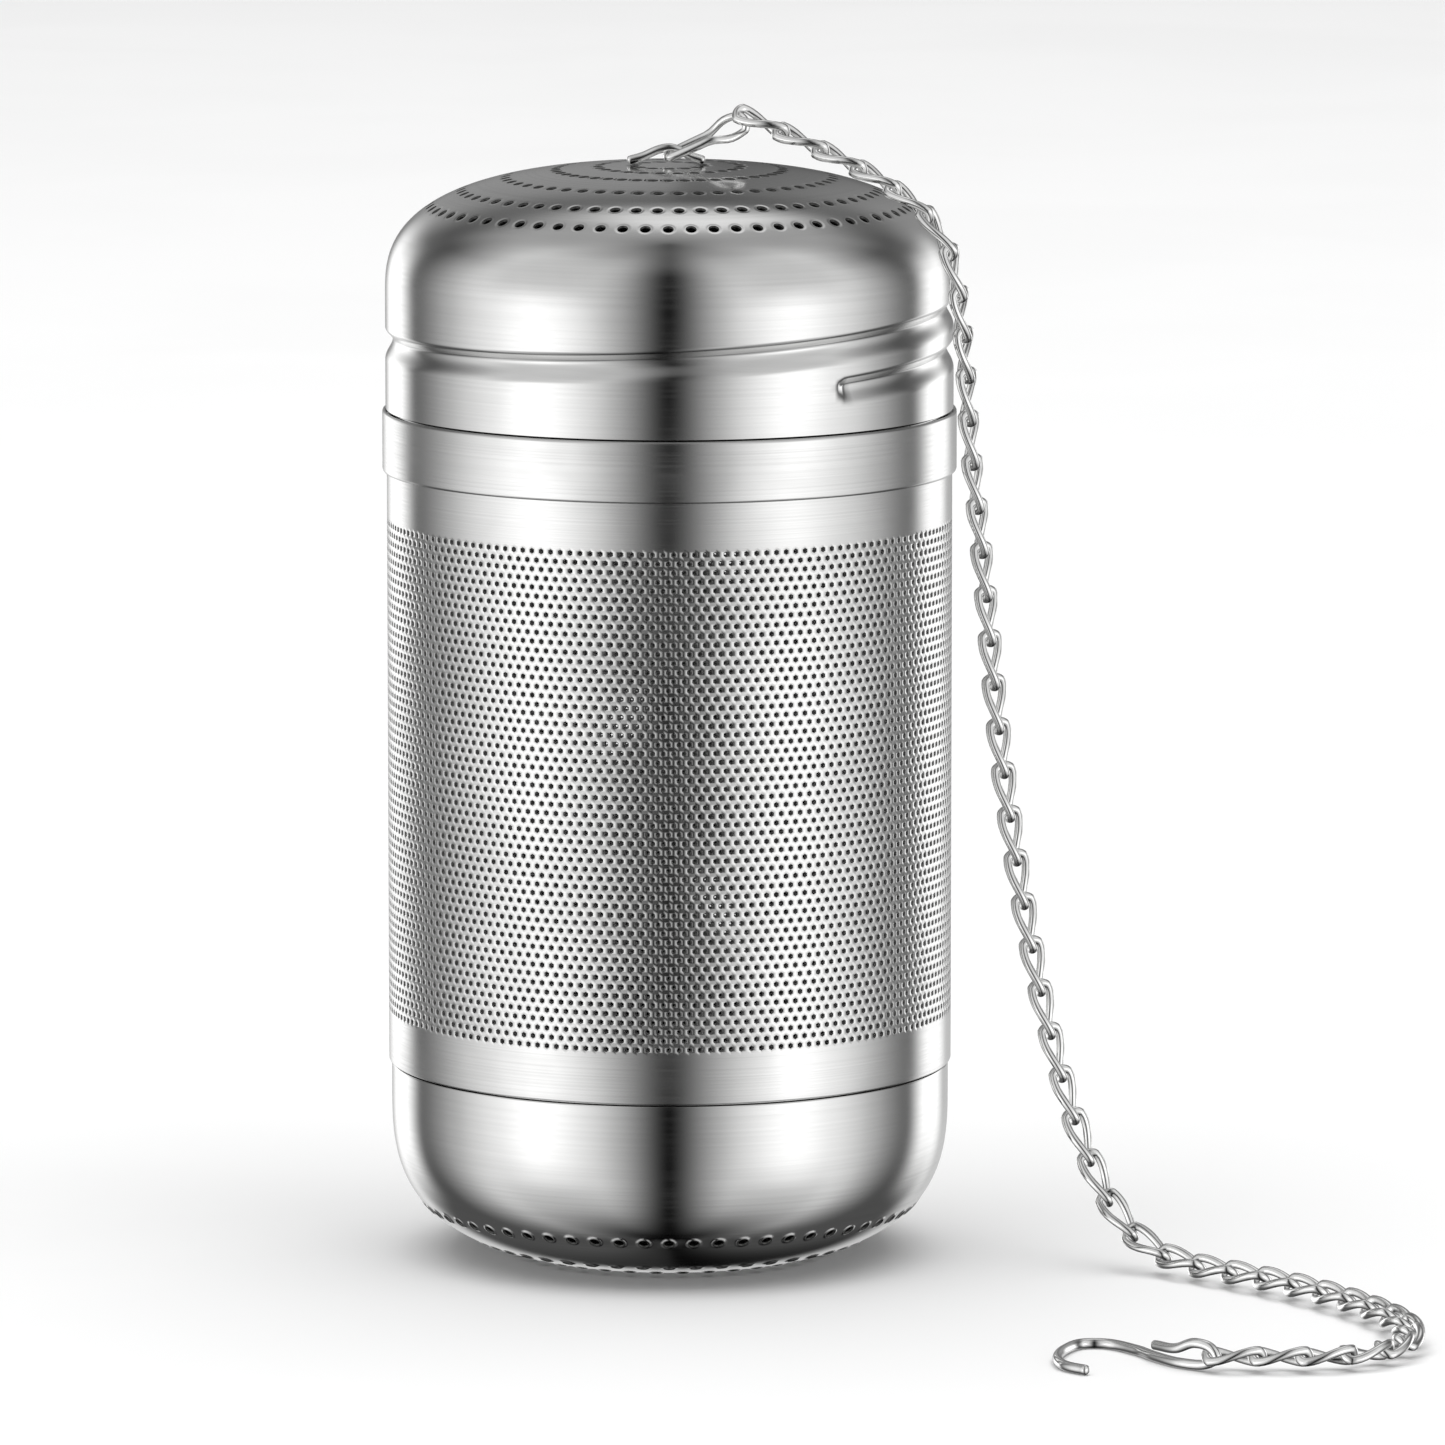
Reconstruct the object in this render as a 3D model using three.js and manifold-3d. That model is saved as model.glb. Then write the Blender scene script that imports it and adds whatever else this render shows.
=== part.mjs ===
// Screw-lid tea infuser with a chain: a perforated drum with a domed base cup, a threaded neck, a domed lid
// that screws on, and a curb chain that ends in a wire hook. Millimetres, +Z up, the front faces -Y, and the
// origin is at the centre of the flat base that the infuser stands on.
import * as THREE from 'three';
import { mergeVertices } from 'three/addons/utils/BufferGeometryUtils.js';
import Module from 'manifold-3d';

const wasm = await Module();
wasm.setup();

// Sheet-metal shells
const SEGMENTS = 36; // facets around each round shell
const SHEET = 0.45; // wall thickness of every pressed shell
const LID_RADIUS = 26.0;
const COLLAR_RADIUS = 26.3;
const COLLAR_WALL = 0.35;
const DRUM_RADIUS = 25.9;
const CUP_RADIUS = 25.65;
const CUP_RISE = 16.0; // from the bottom of the cup's superellipse to its straight side
const CUP_POWER = 3;
const BASE_FLAT = 0.6; // depth cut off the superellipse by the flat that the infuser stands on
const DOME_STEPS = 9;
const SEAM_HEIGHT = 17.8; // where the cup meets the drum
const SEAM_GAP = 0.2;
const DRUM_TOP = 77.9;
const COLLAR_BOTTOM = 72.6;
const COLLAR_TOP = 78.2;
const LID_RIM = 78.45;
const SHOULDER = 89.0; // where the lid's straight skirt turns into its dome
const LID_RISE = 11.5; // from the shoulder to the lid's top
const LID_POWER = 2.65; // of the superellipse that the dome follows
const SPIGOT_TOP = 21.5; // the cup's inner lip, inside the drum
const SPIGOT_RADIUS = 25.37;
const NECK_BOTTOM = 70.5;
const NECK_STEP = 78.0; // the neck is wider below this height, where it sits in the drum
const NECK_TOP = 87.5;
const NECK_RADIUS = 25.1;

// Screw thread: one rolled bead that runs in a rolled groove
const PITCH = 3.8;
const THREAD_START_ANGLE = THREE.MathUtils.degToRad(-51);
const THREAD_TURN = THREE.MathUtils.degToRad(468);
const THREAD_START_HEIGHT = 82.35;
const THREAD_STEP = THREE.MathUtils.degToRad(10);
const THREAD_PATH_RADIUS = 26.3;
const GROOVE_SIZE = 1.0; // radius of the round section rolled into the lid's skirt
const RUNNING_GAP = 0.4; // between the lid's bead and the neck's groove
const THREAD_SIDES = 8;
const NECK_THREAD_LEAD = THREE.MathUtils.degToRad(15); // the neck's groove starts before the lid's bead
const NECK_THREAD_RUNOUT = THREE.MathUtils.degToRad(210); // and runs out through the neck's top edge

// Wire parts
const STAPLE_WIRE = 0.8;
const LINK_WIRE = 0.7;
const LINK_HALF_LENGTH = 2.6; // of the wire's centre line
const LINK_HALF_WIDTH = 1.1;
const QUARTER_TURN = Math.PI / 2; // a curb link's wire twists this much from end to end
const HOOK_WIRE = 0.9;
const LONG_LINK_START = new THREE.Vector3(-0.2, 0, 101.15);
const LONG_LINK_END = new THREE.Vector3(6.9, 0, 104.5);
const LONG_LINK_HALF_WIDTH = 1.05;

const vectors = (list) => list.map((p) => new THREE.Vector3(...p));

// A wire arch on top of the lid, its feet against the dome.
const STAPLE_ROUTE = vectors([
  [-3.6, 0, 100.95], [-2.4, 0, 101.3], [-1.0, 0, 101.9], [0, 0, 102.08],
  [0.9, 0, 101.85], [2.0, 0, 101.3], [3.0, 0, 100.97],
]);

// The chain's run: over the lid's dome, down its side, free to the ground, round a U-turn and back.
const CHAIN_ROUTE = vectors([
  [7.6, -0.2, 104.7], [11.4, -1.2, 103.1], [15.0, -2.4, 101.5], [18.4, -4.0, 99.9], [21.7, -6.3, 97.9],
  [24.6, -7.9, 95.2], [25.95, -8.0, 91.2], [26.55, -6.8, 87.2], [26.95, -5.4, 83.2], [27.2, -4.5, 79.0],
  [27.5, -4.2, 74.8], [28.0, -4.2, 70.3], [28.5, -4.3, 65.6], [29.0, -4.4, 60.5], [29.5, -4.6, 55.0],
  [30.0, -4.8, 50.0], [30.6, -5.0, 45.0], [31.3, -5.3, 40.0], [32.1, -5.6, 35.0], [33.0, -5.9, 30.0],
  [34.0, -6.3, 25.0], [35.2, -6.8, 20.0], [36.6, -7.4, 15.0], [38.2, -8.3, 10.5], [40.2, -9.6, 6.2],
  [42.7, -11.5, 3.1], [45.7, -14.1, 1.7], [49.2, -17.6, 1.45], [53.3, -21.8, 1.45], [57.2, -26.6, 1.45],
  [60.6, -31.8, 1.45], [63.4, -37.4, 1.45], [65.3, -43.2, 1.45], [65.6, -49.4, 1.45], [63.2, -54.8, 1.45],
  [58.6, -57.7, 1.45], [53.2, -58.0, 1.45], [48.6, -57.9, 1.45],
]);
const END_CLEARANCE = 3.0; // from each end of the run to the nearest link's centre
const LID_LINKS = 6; // links that lie on the lid and turn with it
const CARRIED_LINKS = 9; // links beside the lid and the neck, which rise with the lid
const OPEN_GAP = 2.4; // extra spacing where two bodies' links part instead of interlocking
const LINK_COUNT = 42;
const SIDE_HEIGHT = 92; // above this the chain lies against the lid
const LOW_HEIGHT = 34; // below this it turns from hanging to lying
const LYING_HEIGHT = 3; // below this it lies on the ground
const HANGING_TURN = THREE.MathUtils.degToRad(60); // of a link's middle width, from +X towards +Y
const LID_TURN = THREE.MathUtils.degToRad(75);
const LYING_TILT = THREE.MathUtils.degToRad(12);
const WIRE_SIDES = 6;
const LINK_STEPS = 12;

// The hook lies on the ground: a short tail above the shank, an open upright eye, the shank, the curled tip.
const HOOK_ROUTE = vectors([
  [42.9, -53.2, 1.5], [44.6, -55.6, 1.7], [46.2, -57.0, 2.45], [47.6, -58.0, 2.2], [48.1, -58.3, 1.4],
  [47.2, -57.7, 0.7], [44.9, -56.0, 0.5], [42.9, -53.2, 0.5], [41.4, -50.4, 0.5], [38.9, -47.6, 0.5],
  [36.6, -47.6, 0.5], [35.0, -50.3, 0.5], [34.3, -54.1, 0.5], [34.9, -57.3, 0.5], [36.6, -59.2, 0.5],
]);

function steel(colour, roughness) {
  return new THREE.MeshStandardMaterial({ color: colour, metalness: 1, roughness });
}

const brushed = () => steel(0xb9babc, 0.32);
const polished = () => steel(0xc8c9cb, 0.2);
const wireSteel = () => steel(0xcfd0d2, 0.16);

// Turns a closed geometry into a manifold solid.
function solid(geometry) {
  const bare = geometry.clone();
  for (const name of Object.keys(bare.attributes)) {
    if (name !== 'position') bare.deleteAttribute(name);
  }
  const merged = mergeVertices(bare, 1e-4);
  const index = merged.index.array;
  const corners = [];
  for (let i = 0; i < index.length; i += 3) {
    const [a, b, c] = [index[i], index[i + 1], index[i + 2]];
    if (a !== b && b !== c && c !== a) corners.push(a, b, c);
  }
  const vertProperties = new Float32Array(merged.attributes.position.array);
  const triVerts = new Uint32Array(corners);
  return new wasm.Manifold(new wasm.Mesh({ numProp: 3, vertProperties, triVerts }));
}

// Turns a manifold solid back into a three.js geometry.
function geometryOf(manifold) {
  const mesh = manifold.getMesh();
  const geometry = new THREE.BufferGeometry();
  geometry.setAttribute('position', new THREE.BufferAttribute(mesh.vertProperties, 3));
  geometry.setIndex(new THREE.BufferAttribute(mesh.triVerts, 1));
  geometry.computeVertexNormals();
  return geometry;
}

// Revolves an outline of [radius, height] points about the Z axis. It runs up the outer side, and it either
// starts and ends on the axis or is closed here.
function revolve(outline) {
  const onAxis = outline[0][0] === 0;
  const closed = onAxis ? outline : [...outline, outline[0]];
  const points = closed.map(([r, z]) => new THREE.Vector2(r, z));
  return new THREE.LatheGeometry(points, SEGMENTS).rotateX(Math.PI / 2);
}

// Moves a profile that runs upwards inwards by a sheet's thickness, along its own normals.
function inwards(profile, wall) {
  return profile.map(([r, z], i) => {
    const [r0, z0] = profile[Math.max(i - 1, 0)];
    const [r1, z1] = profile[Math.min(i + 1, profile.length - 1)];
    const length = Math.hypot(r1 - r0, z1 - z0);
    const radius = r === 0 ? 0 : r - (wall * (z1 - z0)) / length;
    return [radius, z + (wall * (r1 - r0)) / length];
  });
}

// A quarter of a superellipse, from the axis (share 0) to the full radius (share 1). Each point is
// [radius, share of the rise].
function superellipse(radius, power, from, steps) {
  const points = [];
  for (let i = 0; i <= steps; i += 1) {
    const angle = from + ((QUARTER_TURN - from) * i) / steps;
    const reach = Math.sin(angle) ** (2 / power);
    const rise = Math.max(Math.cos(angle), 0) ** (2 / power);
    points.push([radius * reach, rise]);
  }
  return points;
}

function tube(inner, outer, low, high) {
  return revolve([[outer, low], [outer, high], [inner, high], [inner, low]]);
}

function add(parent, name, geometry, material) {
  const mesh = new THREE.Mesh(geometry, material);
  mesh.name = name;
  parent.add(mesh);
  return mesh;
}

// The thread's helix rises anticlockwise, seen from above.
class Helix extends THREE.Curve {
  constructor(startAngle, turn) {
    super();
    this.startAngle = startAngle;
    this.turn = turn;
  }

  getPoint(t, target = new THREE.Vector3()) {
    const angle = this.startAngle + t * this.turn;
    const height = THREAD_START_HEIGHT + ((angle - THREAD_START_ANGLE) * PITCH) / (2 * Math.PI);
    return target.set(THREAD_PATH_RADIUS * Math.cos(angle), THREAD_PATH_RADIUS * Math.sin(angle), height);
  }
}

// A round rod along a curve, with flat ends.
function rod(curve, radius, steps, sides) {
  const section = new THREE.Shape();
  for (let i = 0; i < sides; i += 1) {
    const angle = (2 * Math.PI * i) / sides;
    const x = radius * Math.cos(angle);
    const y = radius * Math.sin(angle);
    if (i === 0) section.moveTo(x, y);
    else section.lineTo(x, y);
  }
  section.closePath();
  return new THREE.ExtrudeGeometry(section, { steps, extrudePath: curve, bevelEnabled: false });
}

function threadRod(radius, before, after) {
  const turn = before + THREAD_TURN + after;
  const helix = new Helix(THREAD_START_ANGLE - before, turn);
  return solid(rod(helix, radius, Math.round(turn / THREAD_STEP), THREAD_SIDES));
}

// Rolls the thread into a wall: a bead is pressed inwards and a groove is left outside. The bead is trimmed
// to the inside of the wall's outer face.
function rollThread(wall, { bead, groove, trimRadius, low, high, before, after }) {
  const trim = solid(revolve([[0, low], [trimRadius, low], [trimRadius, high], [0, high]]));
  const pressed = threadRod(bead, before, after).intersect(trim);
  return geometryOf(wall.add(pressed).subtract(threadRod(groove, before, after)));
}

function lidShell() {
  const dome = superellipse(LID_RADIUS, LID_POWER, 0, DOME_STEPS).map(([r, rise]) => (
    [r, SHOULDER + LID_RISE * rise]
  ));
  const outer = [[LID_RADIUS, LID_RIM], ...dome.reverse()];
  const wall = solid(revolve([...inwards(outer, SHEET).reverse(), ...outer]));
  return rollThread(wall, {
    bead: GROOVE_SIZE + SHEET,
    groove: GROOVE_SIZE,
    trimRadius: LID_RADIUS - SHEET / 2,
    low: LID_RIM + SHEET,
    high: SHOULDER,
    before: 0,
    after: 0,
  });
}

function neckRing() {
  const outer = [
    [SPIGOT_RADIUS, NECK_BOTTOM], [SPIGOT_RADIUS, NECK_STEP], [NECK_RADIUS, NECK_STEP + SHEET],
    [NECK_RADIUS, NECK_TOP],
  ];
  const wall = solid(revolve([...outer, ...inwards(outer, SHEET).reverse()]));
  const groove = GROOVE_SIZE + SHEET + RUNNING_GAP;
  return rollThread(wall, {
    bead: groove + SHEET,
    groove,
    trimRadius: NECK_RADIUS - SHEET / 2,
    low: NECK_STEP + SHEET,
    high: NECK_TOP,
    before: NECK_THREAD_LEAD,
    after: NECK_THREAD_RUNOUT,
  });
}

// The cup is pressed in at its top edge to make a spigot that the drum slides over.
function baseCup() {
  const flatShare = (1 - BASE_FLAT / CUP_RISE) ** (CUP_POWER / 2);
  const bowl = superellipse(CUP_RADIUS, CUP_POWER, Math.acos(flatShare), DOME_STEPS).map(([r, rise]) => (
    [r, Math.max(CUP_RISE * (1 - rise) - BASE_FLAT, 0)]
  ));
  const outer = [
    [0, 0], ...bowl, [CUP_RADIUS, SEAM_HEIGHT], [SPIGOT_RADIUS, SEAM_HEIGHT + 0.05],
    [SPIGOT_RADIUS, SPIGOT_TOP],
  ];
  return revolve([...outer, ...inwards(outer, SHEET).reverse()]);
}

// A closed wire loop with straight sides and round ends, its plane rolled steadily from one end to the other.
// The torus gives each point's place round the loop and round the wire.
function twistedLink(halfLength, halfWidth, wire, roll, twist) {
  const geometry = new THREE.TorusGeometry(1, wire / 2, WIRE_SIDES, LINK_STEPS);
  const position = geometry.attributes.position;
  for (let i = 0; i < position.count; i += 1) {
    const around = Math.atan2(position.getY(i), position.getX(i));
    const out = Math.hypot(position.getX(i), position.getY(i)) - 1;
    const side = THREE.MathUtils.clamp(1.5 * Math.cos(around), -1, 1);
    const x = (halfLength - halfWidth) * side + (halfWidth + out) * Math.cos(around);
    const y = (halfWidth + out) * Math.sin(around);
    const z = position.getZ(i);
    const angle = roll + (twist * x) / (2 * halfLength);
    const cos = Math.cos(angle);
    const sin = Math.sin(angle);
    position.setXYZ(i, x, y * cos - z * sin, y * sin + z * cos);
  }
  return geometry;
}

// Puts a link's length along one direction and its middle width as near as can be to another.
function placeLink(mesh, centre, along, across) {
  const x = along.clone().normalize();
  const y = across.clone().addScaledVector(x, -across.dot(x)).normalize();
  const z = new THREE.Vector3().crossVectors(x, y);
  mesh.quaternion.setFromRotationMatrix(new THREE.Matrix4().makeBasis(x, y, z));
  mesh.position.copy(centre);
}

function longLink(parent) {
  const along = new THREE.Vector3().subVectors(LONG_LINK_END, LONG_LINK_START);
  const centre = LONG_LINK_START.clone().addScaledVector(along, 0.5);
  const roll = QUARTER_TURN / 2;
  const geometry = twistedLink(along.length() / 2, LONG_LINK_HALF_WIDTH, LINK_WIRE, roll, QUARTER_TURN);
  placeLink(add(parent, 'long_link', geometry, wireSteel()), centre, along, new THREE.Vector3(0, 1, 0));
}

// The way a link's middle width points: well to the back where the chain hangs, more so against the lid, and
// level but for a small tilt where it lies on the ground.
function linkWidth(point, along) {
  const high = THREE.MathUtils.smoothstep(point.z, LOW_HEIGHT, SIDE_HEIGHT);
  const turn = HANGING_TURN + (LID_TURN - HANGING_TURN) * high;
  const hanging = new THREE.Vector3(Math.cos(turn), Math.sin(turn), 0);
  const lying = new THREE.Vector3(-along.y, along.x, 0).normalize();
  lying.z = Math.tan(LYING_TILT);
  return lying.lerp(hanging, THREE.MathUtils.smoothstep(point.z, LYING_HEIGHT, LOW_HEIGHT));
}

// Where each link's centre lies along the chain, counted from its first end.
function linkPlaces(length) {
  const places = [];
  const spare = length - 2 * END_CLEARANCE - 2 * OPEN_GAP;
  const pitch = spare / (LINK_COUNT - 1);
  for (let i = 0; i < LINK_COUNT; i += 1) {
    const gaps = Number(i >= LID_LINKS) + Number(i >= LID_LINKS + CARRIED_LINKS);
    places.push(END_CLEARANCE + i * pitch + gaps * OPEN_GAP);
  }
  return places;
}

function chainLinks(parent) {
  const route = new THREE.CatmullRomCurve3(CHAIN_ROUTE, false, 'centripetal');
  route.arcLengthDivisions = 4000;
  const length = route.getLength();
  const geometry = twistedLink(LINK_HALF_LENGTH, LINK_HALF_WIDTH, LINK_WIRE, 0, -QUARTER_TURN);
  linkPlaces(length).forEach((place, i) => {
    const from = route.getPointAt((place - LINK_HALF_LENGTH) / length);
    const to = route.getPointAt((place + LINK_HALF_LENGTH) / length);
    const along = new THREE.Vector3().subVectors(to, from).normalize();
    const centre = from.clone().add(to).add(route.getPointAt(place / length)).divideScalar(3);
    const name = `link_${String(i + 1).padStart(2, '0')}`;
    placeLink(add(parent, name, geometry, wireSteel()), centre, along, linkWidth(centre, along));
  });
}

function wire(route, diameter, steps) {
  return rod(new THREE.CatmullRomCurve3(route, false, 'centripetal'), diameter / 2, steps, WIRE_SIDES);
}

const infuser = new THREE.Group();
const drumInner = DRUM_RADIUS - SHEET;
const collarInner = COLLAR_RADIUS - COLLAR_WALL;
add(infuser, 'base_cup', baseCup(), polished());
add(infuser, 'mesh_drum', tube(drumInner, DRUM_RADIUS, SEAM_HEIGHT + SEAM_GAP, DRUM_TOP), brushed());
add(infuser, 'neck_ring', neckRing(), brushed());
add(infuser, 'collar_band', tube(collarInner, COLLAR_RADIUS, COLLAR_BOTTOM, COLLAR_TOP), brushed());
add(infuser, 'lid_shell', lidShell(), polished());
add(infuser, 'lid_staple', wire(STAPLE_ROUTE, STAPLE_WIRE, 14), wireSteel());
longLink(infuser);
chainLinks(infuser);
add(infuser, 'chain_hook', wire(HOOK_ROUTE, HOOK_WIRE, 40), wireSteel());

export default infuser;
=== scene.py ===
"""A screw-lid tea infuser of pressed and perforated stainless steel, standing upright, with its chain and
hook laid out beside it. Metres, +Z up, the front faces -Y."""
import math
import bpy
import numpy as np
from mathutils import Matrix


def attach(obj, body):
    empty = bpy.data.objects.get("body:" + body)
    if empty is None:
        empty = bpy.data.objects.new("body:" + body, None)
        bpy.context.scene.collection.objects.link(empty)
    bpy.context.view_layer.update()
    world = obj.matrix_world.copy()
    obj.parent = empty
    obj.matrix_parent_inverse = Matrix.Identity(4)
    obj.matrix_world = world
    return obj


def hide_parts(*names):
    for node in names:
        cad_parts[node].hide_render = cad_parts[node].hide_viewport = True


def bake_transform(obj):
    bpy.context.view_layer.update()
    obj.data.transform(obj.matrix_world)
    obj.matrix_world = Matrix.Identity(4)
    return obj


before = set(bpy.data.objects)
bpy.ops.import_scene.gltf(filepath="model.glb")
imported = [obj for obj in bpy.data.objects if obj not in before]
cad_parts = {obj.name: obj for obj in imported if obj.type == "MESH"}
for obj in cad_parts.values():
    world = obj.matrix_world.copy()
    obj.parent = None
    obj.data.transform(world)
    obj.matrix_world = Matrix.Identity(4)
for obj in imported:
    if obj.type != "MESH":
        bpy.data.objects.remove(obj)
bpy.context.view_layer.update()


# ---------------------------------------------------------------------------------------------------------
# Viewpoint. A long lens a metre away, a little above the lid and tipped down, sees the front of the
# infuser almost square on.
# ---------------------------------------------------------------------------------------------------------
def place_camera(place, tip_down, lens):
    data = bpy.data.cameras.new("front_view")
    data.sensor_width = 36.0
    data.lens = lens
    camera = bpy.data.objects.new("front_view", data)
    camera.location = place
    camera.rotation_euler = (math.radians(90.0 - tip_down), 0.0, 0.0)
    bpy.context.collection.objects.link(camera)
    bpy.context.scene.camera = camera


place_camera(place=(0.00485, -1.05, 0.20256), tip_down=8.317, lens=287.6)


# ---------------------------------------------------------------------------------------------------------
# Wire of the chain, the hook, the staple and the long link: bright drawn stainless wire. Drawing leaves
# faint lines along it, and handling leaves it slightly duller in patches.
# ---------------------------------------------------------------------------------------------------------
MM = 0.001
WIRE_BRIGHT = (0.98, 0.98, 0.975, 1.0)
WIRE_DULL = (0.86, 0.86, 0.855, 1.0)


def smudge_group():
    """Soft patches: a noise pushed to its two ends by a smooth step, so that it is a mask of duller and
    brighter areas, whose edges its own finer detail breaks."""
    group = bpy.data.node_groups.new("soft_smudges", "ShaderNodeTree")
    group.interface.new_socket("Size", in_out="INPUT", socket_type="NodeSocketFloat")
    group.interface.new_socket("Mask", in_out="OUTPUT", socket_type="NodeSocketFloat")
    nodes, links = group.nodes, group.links
    given, put = nodes.new("NodeGroupInput"), nodes.new("NodeGroupOutput")
    place = nodes.new("ShaderNodeTexCoord")
    broad = nodes.new("ShaderNodeTexNoise")
    broad.inputs["Detail"].default_value = 3.0
    broad.inputs["Distortion"].default_value = 0.4
    step = nodes.new("ShaderNodeMapRange")
    step.interpolation_type = "SMOOTHSTEP"
    step.inputs["From Min"].default_value = 0.38
    step.inputs["From Max"].default_value = 0.66
    links.new(place.outputs["Object"], broad.inputs["Vector"])
    links.new(given.outputs["Size"], broad.inputs["Scale"])
    links.new(broad.outputs["Fac"], step.inputs["Value"])
    links.new(step.outputs["Result"], put.inputs["Mask"])
    return group


def turned_lines_group():
    """Lines left by turning or brushing: a noise stretched round the Z axis, since it reads x and y slowly
    and the height quickly. Lean mixes the radius into the height, so the lines also cross a level face."""
    group = bpy.data.node_groups.new("turned_lines", "ShaderNodeTree")
    for name in ("Round", "Across", "Lean"):
        group.interface.new_socket(name, in_out="INPUT", socket_type="NodeSocketFloat")
    group.interface.new_socket("Lines", in_out="OUTPUT", socket_type="NodeSocketFloat")
    nodes, links = group.nodes, group.links
    given, put = nodes.new("NodeGroupInput"), nodes.new("NodeGroupOutput")
    place, part = nodes.new("ShaderNodeTexCoord"), nodes.new("ShaderNodeSeparateXYZ")
    links.new(place.outputs["Object"], part.inputs["Vector"])

    def sum_of(operation, first, second):
        node = nodes.new("ShaderNodeMath")
        node.operation = operation
        links.new(first, node.inputs[0])
        links.new(second, node.inputs[1])
        return node.outputs[0]

    x, y, z = part.outputs["X"], part.outputs["Y"], part.outputs["Z"]
    squares = sum_of("ADD", sum_of("MULTIPLY", x, x), sum_of("MULTIPLY", y, y))
    root = nodes.new("ShaderNodeMath")
    root.operation = "SQRT"
    links.new(squares, root.inputs[0])
    height = sum_of("ADD", z, sum_of("MULTIPLY", root.outputs[0], given.outputs["Lean"]))
    join = nodes.new("ShaderNodeCombineXYZ")
    links.new(sum_of("MULTIPLY", x, given.outputs["Round"]), join.inputs["X"])
    links.new(sum_of("MULTIPLY", y, given.outputs["Round"]), join.inputs["Y"])
    links.new(sum_of("MULTIPLY", height, given.outputs["Across"]), join.inputs["Z"])
    noise = nodes.new("ShaderNodeTexNoise")
    noise.inputs["Scale"].default_value = 1.0
    noise.inputs["Detail"].default_value = 4.0
    noise.inputs["Roughness"].default_value = 0.62
    links.new(join.outputs["Vector"], noise.inputs["Vector"])
    links.new(noise.outputs["Fac"], put.inputs["Lines"])
    return group


SMUDGES = smudge_group()
TURNED_LINES = turned_lines_group()
PATCH_SHARE = 0.45
LINES_SHARE = 0.55


def steel(name, bright, dull, gloss, matt, patch, around, across, lean, depth):
    """Steel with lines and patches: the colour goes from bright to dull and the roughness from gloss to
    matt where both masks are high, and the lines also tilt the surface by a bump of the given depth."""
    material = bpy.data.materials.new(name)
    material.use_nodes = True
    nodes, links = material.node_tree.nodes, material.node_tree.links
    shader = nodes["Principled BSDF"]
    shader.inputs["Metallic"].default_value = 1.0
    smudge, lines = nodes.new("ShaderNodeGroup"), nodes.new("ShaderNodeGroup")
    smudge.node_tree, lines.node_tree = SMUDGES, TURNED_LINES
    smudge.inputs["Size"].default_value = patch
    lines.inputs["Round"].default_value = around
    lines.inputs["Across"].default_value = across
    lines.inputs["Lean"].default_value = lean
    both = nodes.new("ShaderNodeMath")
    both.operation = "MULTIPLY_ADD"
    both.inputs[1].default_value = PATCH_SHARE
    links.new(smudge.outputs["Mask"], both.inputs[0])
    spread = nodes.new("ShaderNodeMapRange")
    spread.inputs["From Min"].default_value = 0.3
    spread.inputs["From Max"].default_value = 0.7
    spread.inputs["To Max"].default_value = LINES_SHARE
    links.new(lines.outputs["Lines"], spread.inputs["Value"])
    links.new(spread.outputs["Result"], both.inputs[2])
    colour = nodes.new("ShaderNodeMix")
    colour.data_type = "RGBA"
    colour.inputs["A"].default_value = bright
    colour.inputs["B"].default_value = dull
    links.new(both.outputs[0], colour.inputs["Factor"])
    links.new(colour.outputs["Result"], shader.inputs["Base Color"])
    rough = nodes.new("ShaderNodeMapRange")
    rough.inputs["To Min"].default_value = gloss
    rough.inputs["To Max"].default_value = matt
    links.new(both.outputs[0], rough.inputs["Value"])
    links.new(rough.outputs["Result"], shader.inputs["Roughness"])
    bump = nodes.new("ShaderNodeBump")
    bump.inputs["Strength"].default_value = 1.0
    bump.inputs["Distance"].default_value = depth
    links.new(lines.outputs["Lines"], bump.inputs["Height"])
    links.new(bump.outputs["Normal"], shader.inputs["Normal"])
    return material


WIRE_STEEL = steel("drawn_wire", WIRE_BRIGHT, WIRE_DULL, gloss=0.06, matt=0.18, patch=260.0,
                   around=900.0, across=500.0, lean=0.0, depth=0.006 * MM)


def lay_mesh(name, points, corners, starts, materials, normals=None, finish=None):
    """Makes an object at the origin from an (n, 3) array of points, the flat list of each face's corner
    numbers, and where each face starts in it. Normals, if given, hold one for each corner, and finish holds
    the number of each face's material."""
    mesh = bpy.data.meshes.new(name)
    mesh.vertices.add(len(points))
    mesh.vertices.foreach_set("co", np.asarray(points, np.float32).ravel())
    mesh.loops.add(len(corners))
    mesh.loops.foreach_set("vertex_index", np.asarray(corners, np.int32))
    mesh.polygons.add(len(starts))
    mesh.polygons.foreach_set("loop_start", np.asarray(starts, np.int32))
    mesh.update(calc_edges=True)
    mesh.polygons.foreach_set("use_smooth", np.ones(len(starts), bool))
    if normals is not None:
        mesh.normals_split_custom_set(np.asarray(normals, np.float32))
    for material in materials:
        mesh.materials.append(material)
    if finish is not None:
        mesh.polygons.foreach_set("material_index", np.asarray(finish, np.int32))
    piece = bpy.data.objects.new(name, mesh)
    bpy.context.collection.objects.link(piece)
    return piece


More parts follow.
